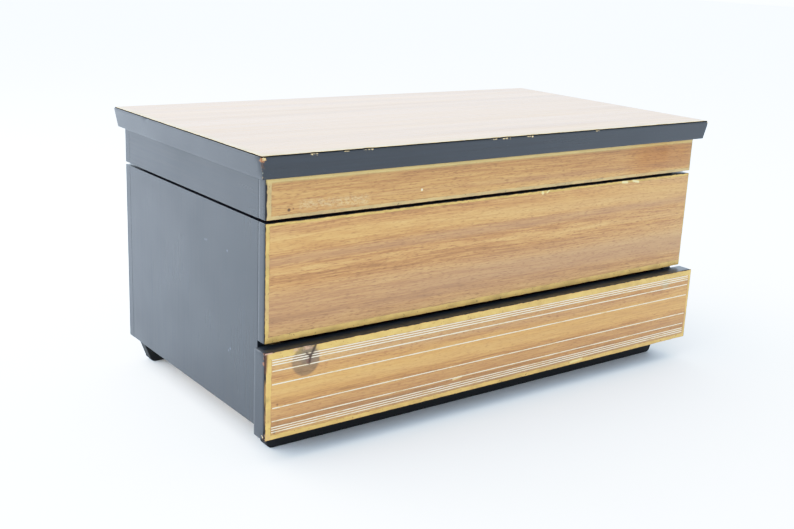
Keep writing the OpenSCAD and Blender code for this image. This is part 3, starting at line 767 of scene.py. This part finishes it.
# rubbed specks on the left side: (y, z, radius) in millimetres
sideMarks = [(-15.2, 86.3, 0.35), (-16.8, 86.6, 0.35), (-36.4, 86.0, 0.3), (-38.0, 40.6, 0.4),
             (-39.5, 41.6, 0.4)]
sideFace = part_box("side_panel_left")[0].x
sideWear = [{"at": (sideFace, y * mm, z * mm), "radius": size * mm, "ragged": 0.5 * mm, "colour": "#525a66"}
            for y, z, size in sideMarks]
dressNode("side_panel_left", blackLacquer("blackLacquerLeftSide", "Z", sideWear), 0.2 * mm)
dressNode("side_panel_right", lacquerZ, 0.2 * mm)
for name in ("back_panel", "lid_rail_back"):
    dressNode(name, lacquerX, 0.3 * mm)
for name in ("lid_rail_left", "lid_rail_right"):
    dressNode(name, lacquerY, 0.2 * mm)
footPaint = blackPaint()
for name in ("foot_bar_front", "foot_bar_rear"):
    dressNode(name, footPaint, 0.4 * mm)

# The lid board's edges lean in towards its underside. Nicks are (x, y, z, reach, depth): the lacquer and some
# wood are gone there.
lidBoardSet = {
    "lean": 1.41 * mm, "corner": 0.2 * mm, "round": 0.2 * mm, "step": 2.0 * mm, "levels": 9,
    "nicks": [(-0.1374, -0.0748, 0.1338, 3.0 * mm, 1.2 * mm), (-0.1374, -0.0748, 0.1312, 2.6 * mm, 0.8 * mm),
              (-0.1368, -0.0742, 0.1285, 2.2 * mm, 0.5 * mm),
              (0.1374, -0.0748, 0.1338, 1.4 * mm, 0.25 * mm), (-0.1374, 0.0372, 0.1339, 1.8 * mm, 0.5 * mm)],
}
lidLow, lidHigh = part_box("lid_board")
chipColour = "#cfb280"
lidWear = [
    {"at": (-0.1365, -0.0740, 0.1332), "radius": 1.5 * mm, "ragged": 0.8 * mm, "colour": "#8f5a2c"},
    {"at": (-0.1360, -0.0742, 0.1334), "radius": 0.8 * mm, "ragged": 0.7 * mm, "colour": "#d3b47a"},
    {"at": (-0.1366, -0.0741, 0.1305), "radius": 0.9 * mm, "ragged": 0.9 * mm, "colour": "#3c2415"},
    {"at": (-0.1368, -0.0743, 0.1290), "radius": 0.5 * mm, "ragged": 0.9 * mm, "colour": "#54402c"},
    {"at": (-0.1364, -0.0740, 0.1272), "radius": 0.3 * mm, "ragged": 0.7 * mm, "colour": "#8b8a78"},
    {"at": (-0.1362, -0.0737, 0.1255), "radius": 0.3 * mm, "ragged": 0.7 * mm, "colour": "#6d5a40"},
    {"at": (0.1368, -0.0744, 0.1336), "radius": 0.7 * mm, "ragged": 0.6 * mm, "colour": chipColour},
]
for at, half, deep in topSheet["chips"]:
    for part in (-0.5, 0.0, 0.5):
        lidWear.append({"at": (at + part * half, lidLow.y, lidHigh.z + 0.1 * mm),
                        "radius": deep * 0.8, "ragged": 0.5 * mm, "colour": chipColour})
lidLacquer = blackLacquer("blackLacquerLid", "X", lidWear)


def nickDepth(point, nicks):
    depth = 0
    for x, y, z, reach, deep in nicks:
        away = (Vector(point) - Vector((x, y, z))).length / reach
        if away < 1:
            depth = max(depth, deep * (1 - away * away) * (0.75 + 0.5 * abs(wobble(point, 1.1, 8))))
    return depth


def edgeRound(share, height, radius):
    # how far a rounded edge draws in near the two ends of a height
    end = min(share, 1 - share) * height
    return radius - math.sqrt(max(0.0, radius ** 2 - (radius - end) ** 2)) if end < radius else 0.0


def levelShares(height, radius, count):
    ends = [0.0, 0.12 * radius / height, 0.4 * radius / height, radius / height]
    middle = [ends[-1] + (1 - 2 * ends[-1]) * i / count for i in range(1, count)]
    return ends + middle + [1 - e for e in reversed(ends)]


def makeLidBoard():
    look = lidBoardSet
    height = lidHigh.z - lidLow.z
    loops = []
    for share in levelShares(height, look["round"], look["levels"]):
        inset = look["lean"] * (1 - share) + edgeRound(share, height, look["round"])
        z = lidLow.z + share * height
        box = (lidLow.x, lidHigh.x, lidLow.y, lidHigh.y)
        loop = []
        for u, v, nu, nv, free in roundedOutline(box, inset, look["corner"], look["step"]):
            bite = nickDepth((u, v, z), look["nicks"])
            loop.append((u - nu * bite, v - nv * bite, z))
        loops.append(loop)
    return loftLoops("lidBoard", loops, [lidLacquer], "lid")


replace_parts(makeLidBoard(), "lid_board")

drawerFrontSet = {
    "corner": 0.5 * mm, "round": 0.3 * mm, "step": 2.0 * mm, "levels": 6,
    "nicks": [(-0.136, -0.0758, 0.0516, 2.2 * mm, 0.8 * mm), (-0.136, -0.0758, 0.0118, 3.0 * mm, 1.0 * mm),
              (-0.136, -0.0758, 0.0150, 1.6 * mm, 0.4 * mm), (0.136, -0.0758, 0.0516, 1.6 * mm, 0.4 * mm)],
}
frontLow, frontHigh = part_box("drawer_front")
drawerWear = [
    {"at": (-0.1360, -0.0758, 0.0508), "radius": 1.0 * mm, "ragged": 0.9 * mm, "colour": "#7c4a2c"},
    {"at": (-0.1360, -0.0758, 0.0470), "radius": 0.5 * mm, "ragged": 0.8 * mm, "colour": "#7c4a2c"},
    {"at": (-0.1355, -0.0756, 0.0124), "radius": 1.3 * mm, "ragged": 1.0 * mm, "colour": "#cdb389"},
    {"at": (-0.1350, -0.0750, 0.0119), "radius": 1.0 * mm, "ragged": 1.0 * mm, "colour": "#8a5a34"},
]


def boardAlongY(name, low, high, look, material, body):
    # a board seen from the front, with rounded edges and worn nicks
    depth = high.y - low.y
    box = (low.x, high.x, low.z, high.z)
    loops = []
    for share in levelShares(depth, look["round"], look["levels"]):
        y = low.y + share * depth
        inset = edgeRound(share, depth, look["round"])
        loop = []
        for u, v, nu, nv, free in roundedOutline(box, inset, look["corner"], look["step"]):
            bite = nickDepth((u, y, v), look.get("nicks", ()))
            loop.append((u - nu * bite, y, v - nv * bite))
        loops.append(loop)
    return loftLoops(name, loops, [material], body)


# each board starts this far behind its facing's face
boardStart = 0.45 * mm
drawerFrontLow = Vector((frontLow.x, drawerLow.y + boardStart, frontLow.z))
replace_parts(boardAlongY("drawerFrontBoard", drawerFrontLow, frontHigh, drawerFrontSet,
                        blackLacquer("blackLacquerDrawer", "X", drawerWear), "drawer"), "drawer_front")
plainBoardSet = {"corner": 0.35 * mm, "round": 0.25 * mm, "step": 4.0 * mm, "levels": 3}
plainBoards = [("front_board", "frontBoard", boardLow.y, "carcass"),
               ("lid_rail_front", "lidRailFront", railLow.y, "lid")]
for nodeName, pieceName, face, body in plainBoards:
    low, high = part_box(nodeName)
    low = Vector((low.x, face + boardStart, low.z))
    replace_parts(boardAlongY(pieceName, low, high, plainBoardSet, lacquerX, body), nodeName)
woodX = bareWood("limewoodAlongX", "X")
woodY = bareWood("limewoodAlongY", "Y")
for name in ("drawer_side_left", "drawer_side_right"):
    dressNode(name, woodY, 0.3 * mm)
for name in ("drawer_back", "drawer_bottom", "compartment_floor", "bottom_panel"):
    dressNode(name, woodX, 0.3 * mm)
print("stage: boards")


def gridLines(low, high, bend, step):
    # places along one axis of a block, close together where its edges are rounded
    span = high - low
    ends = [0.0, 0.35 * bend, bend]
    count = max(1, round((span - 2 * bend) / step))
    middle = [bend + (span - 2 * bend) * i / count for i in range(1, count)]
    return [low + place for place in ends + middle + [span - end for end in reversed(ends)]]


def blockShell(lines):
    # points and faces of the surface of a block cut by grid lines along X, Y and Z
    places, points, faces = {}, [], []

    def pointAt(key):
        if key not in places:
            places[key] = len(points)
            points.append(Vector([lines[axis][key[axis]] for axis in range(3)]))
        return places[key]

    for axis in range(3):
        first, second = (axis + 1) % 3, (axis + 2) % 3
        for end in (0, len(lines[axis]) - 1):
            for i in range(len(lines[first]) - 1):
                for j in range(len(lines[second]) - 1):
                    quad = []
                    for di, dj in ((0, 0), (1, 0), (1, 1), (0, 1)):
                        key = [end, end, end]
                        key[first], key[second] = i + di, j + dj
                        quad.append(pointAt(tuple(key)))
                    faces.append(quad)
    return points, faces


velvetBlockLook = {"round": 0.6 * mm, "step": 3.0 * mm, "ripple": 0.12 * mm, "rippleMm": 14, "seed": 1}


def velvetBlock(name, low, high, body, look=None, swell=None):
    # Card or board wrapped in velvet: soft edges, and a surface that is never quite flat.
    # swell(point, outward) gives extra height in metres.
    look = {**velvetBlockLook, **(look or {})}
    thin = min(high - low)
    bend = min(look["round"], 0.49 * thin)
    lines = [gridLines(low[axis], high[axis], bend, look["step"]) for axis in range(3)]
    points, faces = blockShell(lines)
    coreLow, coreHigh = low + Vector((bend,) * 3), high - Vector((bend,) * 3)
    verts = []
    for point in points:
        core = Vector([min(max(point[axis], coreLow[axis]), coreHigh[axis]) for axis in range(3)])
        outward = (point - core).normalized()
        place = core + outward * bend
        place += outward * (wobble(point, look["rippleMm"], look["seed"]) - 0.6) * look["ripple"]
        if swell:
            place += outward * swell(point, outward)
        verts.append(place)
    return makePiece(name, verts, faces, [velvet], body, smoothAngle=60)


def frameLoft(name, box, profile, corner, step, material, body, smoothAngle):
    # Closed moulding round a rectangle (x0, x1, y0, y1). profile is (inset, height) all the way round its
    # section.
    loops = []
    for inset, height in profile:
        loops.append([(u, v, height) for u, v, nu, nv, free in roundedOutline(box, inset, corner, step)])
    return loftLoops(name, loops, [material], body, smoothAngle, joined=True)


# compartment: glued velvet panels, a ring tray and three dividers
def wrapNode(nodeName, pieceName, body, look):
    low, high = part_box(nodeName)
    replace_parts(velvetBlock(pieceName, low, high, body, look), nodeName)


panelLook = {"step": 4.0 * mm}
for seed, side in enumerate(("floor", "left", "right", "front", "back")):
    wrapNode("lining_" + side, "compartment" + side.capitalize() + "Velvet", "carcass",
             {**panelLook, "seed": seed})
wrapNode("ring_tray_base", "ringTrayBase", "carcass", {"seed": 7, "round": 1.2 * mm})
dividerLook = {"round": 1.3 * mm, "ripple": 0.2 * mm, "rippleMm": 18}
dividerNames = {"divider_ring_tray": "dividerRingTray", "divider_long": "dividerLong",
                "divider_short_front": "dividerShortFront", "divider_short_rear": "dividerShortRear"}
for seed, (nodeName, pieceName) in enumerate(dividerNames.items()):
    wrapNode(nodeName, pieceName, "carcass", {**dividerLook, "seed": 11 + seed})
print("stage: compartment linings")

rollSet = {
    "slack": 0.55 * mm,      # how much smaller than the finished roll the sewn tube starts
    "endRound": 4.2 * mm, "pleats": 11, "pleatDepth": 0.05, "around": 32, "step": 3.0 * mm,
    "voxel": 1.7 * mm, "pressure": 4.0, "spareCloth": 0.05, "cap": 0.85 * mm, "glued": 1.6 * mm,
    "simScale": 10.0, "moments": 20, "fill": 0.9,
}


def rollMesh(name, low, high, seed):
    # a stuffed tube along X with gathered, rounded ends
    look = rollSet
    centre = (low + high) / 2
    radius = (high.z - low.z) / 2 - look["slack"]
    half = (high.x - low.x) / 2 - 0.3 * mm
    bend = look["endRound"]
    stations = [(-half + bend * (1 - math.cos(math.radians(a))), math.sin(math.radians(a)))
                for a in (14, 28, 42, 56, 73, 90)]
    count = round((2 * half - 2 * bend) / look["step"])
    stations += [(-half + bend + (2 * half - 2 * bend) * i / count, 1.0) for i in range(1, count)]
    stations += [(-x, full) for x, full in reversed(stations[:6])]
    loops = []
    for x, full in stations:
        loop = []
        gather = math.exp(-((half - abs(x)) / (7 * mm)) ** 2)
        for i in range(look["around"]):
            a = 2 * math.pi * i / look["around"]
            fold = math.sin(look["pleats"] * a + seed * 1.7) * look["pleatDepth"] * gather
            r = (radius - bend) + bend * full if full < 1 else radius
            r *= 1 + fold + 0.012 * wobble((x, a * 0.01, seed), 16, seed)
            z = max(r * math.sin(a), -0.93 * radius)
            loop.append((centre.x + x, centre.y + r * math.cos(a), centre.z + z))
        loops.append(loop)
    return loftLoops(name, loops, [velvet], "carcass", smoothAngle=80)


def puffUp(piece, low, high):
    # The roll's cloth is a little larger than its stuffing: pressure lifts it and leaves soft wrinkles. It is
    # worked out ten times larger than life, where Blender's cloth is steady, with the glued underside held.
    look = rollSet
    grow = look["simScale"]
    worker = bpy.data.objects.new("puffing", piece.data.copy())
    worker.data.transform(Matrix.Scale(grow, 4))
    bpy.context.scene.collection.objects.link(worker)
    remesh = worker.modifiers.new("evenCloth", "REMESH")
    remesh.mode = "VOXEL"
    remesh.voxel_size = look["voxel"] * grow
    start = bpy.data.meshes.new_from_object(worker.evaluated_get(bpy.context.evaluated_depsgraph_get()))
    worker.modifiers.clear()
    worker.data = start
    lowest = min(v.co.z for v in start.vertices)
    held = worker.vertex_groups.new(name="glued")
    held.add([v.index for v in start.vertices if v.co.z < lowest + look["glued"] * grow], 1.0, "REPLACE")
    cloth = worker.modifiers.new("cloth", "CLOTH")
    cloth.settings.quality = 5
    cloth.settings.use_pressure = True
    cloth.settings.uniform_pressure_force = look["pressure"]
    cloth.settings.effector_weights.gravity = 0
    cloth.settings.shrink_min = -look["spareCloth"]
    cloth.settings.vertex_group_mass = "glued"
    cloth.point_cache.frame_start = 1
    cloth.point_cache.frame_end = look["moments"]
    for moment in range(1, look["moments"] + 1):
        bpy.context.scene.frame_set(moment)
    swollen = worker.evaluated_get(bpy.context.evaluated_depsgraph_get()).data
    mesh = start.copy()
    for before, after, final in zip(start.vertices, swollen.vertices, mesh.vertices):
        move = (after.co - before.co) / grow
        if move.length > look["cap"]:
            move *= look["cap"] / move.length
        place = before.co / grow + move
        final.co = [min(max(place[axis], low[axis] - 0.12 * mm), high[axis] + 0.12 * mm) for axis in range(3)]
    mesh.materials.clear()
    mesh.materials.append(velvet)
    mesh.shade_smooth()
    piece.data = mesh
    bpy.data.objects.remove(worker)
    bpy.context.scene.frame_set(1)


for number in range(1, 8):
    nodeName = "ring_roll_" + str(number)
    low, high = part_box(nodeName)
    roll = rollMesh("ringRoll" + str(number), low, high, number)
    puffUp(roll, low, high)
    smooth = roll.modifiers.new("smoothCloth", "SUBSURF")
    smooth.levels = 1
    smooth.render_levels = 1
    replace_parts(roll, nodeName)
print("stage: ring rolls")

# inside the lid: a padded velvet panel tucked under the mirror's frame, and velvet on the rails
frameLow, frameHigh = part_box("mirror_frame")
liningLow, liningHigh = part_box("lid_lining")
lidPadSet = {"crown": 1.3 * mm, "fill": 0.5}


def lidPadSwell(point, outward):
    # only the side that faces the compartment is crowned, between the rails and the mirror's frame
    if outward.z > -0.5:
        return 0.0
    fromRail = min(point.x - liningLow.x, liningHigh.x - point.x,
                   point.y - liningLow.y, liningHigh.y - point.y)
    aside = Vector((max(frameLow.x - point.x, 0, point.x - frameHigh.x),
                    max(frameLow.y - point.y, 0, point.y - frameHigh.y))).length
    share = fromRail / max(fromRail + aside, 0.1 * mm)
    crown = math.sin(math.pi * min(max(share, 0), 1)) ** 0.7 if aside > 0 else 0.0
    return crown * lidPadSet["crown"] * (1 + 0.35 * wobble(point, 11, 31))


lidPadLook = {"seed": 21, "step": 2.2 * mm}
lidPad = velvetBlock("lidPad", liningLow, liningHigh, "lid", lidPadLook, lidPadSwell)
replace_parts(lidPad, "lid_lining")


bandSet = {"rolled": 0.4, "ripple": 0.1 * mm, "rows": 8, "corner": 0.3 * mm, "step": 4.0 * mm}


def velvetBand(nodeName, pieceName, body, thick):
    # velvet glued round the inside of a frame, with rolled edges
    low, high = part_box(nodeName)
    box = (low.x, high.x, low.y, high.y)
    rolled = thick * bandSet["rolled"]
    tall = high.z - low.z - 2 * rolled
    rows = bandSet["rows"]
    profile = [(0, low.z + rolled), (rolled, low.z), (thick - rolled, low.z), (thick, low.z + rolled)]
    for i in range(1, rows):
        profile.append((thick + bandSet["ripple"] * math.sin(i * 2.1), low.z + rolled + tall * i / rows))
    profile += [(thick, high.z - rolled), (thick - rolled, high.z), (rolled, high.z), (0, high.z - rolled)]
    band = frameLoft(pieceName, box, profile, bandSet["corner"], bandSet["step"], velvet, body, 60)
    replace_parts(band, nodeName)


velvetBand("lid_rail_linings", "lidRailVelvet", "lid", 1.5 * mm)
velvetBand("drawer_lining_walls", "drawerWallVelvet", "drawer", 1.0 * mm)
wrapNode("drawer_lining_floor", "drawerFloorVelvet", "drawer", {**panelLook, "seed": 41})
for seed, side in enumerate(("left", "right")):
    wrapNode("drawer_divider_" + side, "drawerDivider" + side.capitalize(), "drawer",
             {**dividerLook, "seed": 45 + seed})
print("stage: lid and drawer linings")

# Mirror frame: a rolled brass moulding, with a bead outside and a stepped lip over the glass. Its section is
# (inset, rise) in millimetres.
frameSet = {
    "section": [(0.0, 3.4), (0.0, 0.75), (0.25, 0.35), (0.75, 0.1), (1.3, 0.0), (1.8, 0.15), (2.1, 0.55),
                (2.5, 0.62), (2.9, 0.35), (3.3, 0.3), (3.7, 0.45), (4.2, 1.0), (4.9, 1.2), (5.0, 1.3),
                (5.0, 1.4), (3.5, 1.4), (3.5, 3.4)],
    "corner": 0.6 * mm, "step": 6.0 * mm,
}


def makeMirrorFrame():
    box = (frameLow.x, frameHigh.x, frameLow.y, frameHigh.y)
    profile = [(inset * mm, frameLow.z + rise * mm) for inset, rise in frameSet["section"]]
    return frameLoft("mirrorFrame", box, profile, frameSet["corner"], frameSet["step"], brass, "lid",
                     25)


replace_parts(makeMirrorFrame(), "mirror_frame")
dressNode("mirror", silveredGlass(), 0.3 * mm, 2)


# rings are (height, radius) in millimetres from the tip up, and the slot is (half width, depth)
screwSet = {
    "hinge": {"rings": [(-7.0, 0.25), (-6.4, 0.58), (-0.5, 0.6), (-0.08, 1.06), (0.0, 1.0)],
              "slot": (0.16, 0.25)},
    "foot": {"rings": [(-12.0, 0.5), (-10.6, 1.3), (-2.6, 1.3), (-0.2, 2.55), (0.0, 2.45)],
             "slot": (0.35, 0.7)},
    "stay": {"rings": [(-8.8, 0.9), (-5.3, 1.0), (-5.29, 2.2), (-2.8, 2.2), (-2.79, 1.5), (-1.0, 1.5),
                       (-0.99, 2.4), (-0.3, 2.4), (0.0, 2.0)],
             "slot": (0.3, 0.5)},
}


def screwShape(kind, sides=9):
    # a turned screw: its last ring is the top of the head, with the slot cut across it
    rings = [(height * mm, radius * mm) for height, radius in screwSet[kind]["rings"]]
    slotHalf, slotDepth = [size * mm for size in screwSet[kind]["slot"]]
    top, topRadius = rings[-1]
    rim = rings[-2][1]
    stages = list(rings[:-1]) + [(top - slotDepth, rim)]
    spots = []
    for turn in (0, math.pi):
        for spot in (-1, 0, 1):
            spots.append((turn, spot))
        spots += [(turn, 2 + i) for i in range(1, sides)]
    count = len(spots)

    def around(radius):
        cut = math.asin(min(slotHalf / radius, 0.9))
        angles = []
        for turn, spot in spots:
            share = (spot - 2) / sides
            angles.append(turn + cut * spot if spot < 2 else turn + cut + (math.pi - 2 * cut) * share)
        return [(radius * math.cos(a), radius * math.sin(a)) for a in angles]

    points = []
    for height, radius in stages + [(top, topRadius)]:
        points += [Vector((x, y, height)) for x, y in around(radius)]
    faces = [tuple(reversed(range(count)))]
    for ring in range(len(stages) - 1):
        for i in range(count):
            j = (i + 1) % count
            near, far = ring * count, (ring + 1) * count
            faces.append((near + i, near + j, far + j, far + i))
    floor, head = (len(stages) - 1) * count, len(stages) * count
    halfCount = count // 2
    faces.append(tuple(floor + side + i for side in (0, halfCount) for i in range(3)))
    for first in (2, halfCount + 2):
        run = [(first + i) % count for i in range(halfCount - 1)]
        for i, j in zip(run, run[1:]):
            faces.append((floor + i, floor + j, head + j, head + i))
        faces.append((floor + run[-1], floor + run[0], head + run[0], head + run[-1]))
        faces.append(tuple(head + i for i in run))
    used = sorted({i for face in faces for i in face})
    renumber = {old: new for new, old in enumerate(used)}
    return [points[i] for i in used], [tuple(renumber[i] for i in face) for face in faces]


def makeScrews(name, kind, places, pointing, body, nodeName):
    # pointing is the direction that the heads face. Each slot stands at its own angle.
    points, faces = screwShape(kind)
    facing = Vector(pointing).to_track_quat("Z", "Y").to_matrix()
    verts, allFaces = [], []
    for number, place in enumerate(places):
        turn = facing @ Matrix.Rotation(0.4 + number * 1.9, 3, "Z")
        allFaces += [tuple(len(verts) + i for i in face) for face in faces]
        verts += [turn @ point + Vector(place) for point in points]
    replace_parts(makePiece(name, verts, allFaces, [brass], body, smoothAngle=30), nodeName)


def partsOf(nodeName):
    # centre of each separate solid of a node
    work = bmesh.new()
    work.from_mesh(nodes[nodeName].data)
    bmesh.ops.remove_doubles(work, verts=work.verts, dist=0.002 * mm)
    left = set(work.verts)
    centres = []
    while left:
        stack = [left.pop()]
        island = []
        while stack:
            vert = stack.pop()
            island.append(vert.co.copy())
            for edge in vert.link_edges:
                other = edge.other_vert(vert)
                if other in left:
                    left.discard(other)
                    stack.append(other)
        lows = Vector([min(p[axis] for p in island) for axis in range(3)])
        highs = Vector([max(p[axis] for p in island) for axis in range(3)])
        centres.append((lows + highs) / 2)
    work.free()
    return sorted(centres, key=lambda c: (round(c.x, 4), round(c.y, 4)))


hingeScrews = [("hinge_screws_carcass", "hingeScrewsCarcass", "carcass", 1),
               ("hinge_screws_lid", "hingeScrewsLid", "lid", -1)]
for nodeName, pieceName, body, upward in hingeScrews:
    low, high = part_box(nodeName)
    headAt = high.z if upward > 0 else low.z
    heads = [(c.x, c.y, headAt) for c in partsOf(nodeName)]
    makeScrews(pieceName, "hinge", heads, (0, 0, upward), body, nodeName)
low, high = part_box("foot_screws")
makeScrews("footScrews", "foot", [(c.x, c.y, high.z) for c in partsOf("foot_screws")], (0, 0, 1), "carcass",
           "foot_screws")
for nodeName, pieceName, body in (("stay_pin", "stayLowPin", "carcass"),
                                  ("stay_pivot_screw", "stayPivotScrew", "lid")):
    low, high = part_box(nodeName)
    centre = (low + high) / 2
    makeScrews(pieceName, "stay", [(low.x, centre.y, centre.z)], (-1, 0, 0), body, nodeName)
for side in ("left", "right"):
    dressNode("hinge_" + side + "_carcass_leaf", brass, 0.12 * mm, 2)
    dressNode("hinge_" + side + "_lid_leaf", brass, 0.12 * mm, 2)
    dressNode("hinge_" + side + "_pin", brass, 0.2 * mm)
dressNode("stay_arm", brass, 0.2 * mm)
print("stage: metal fittings")
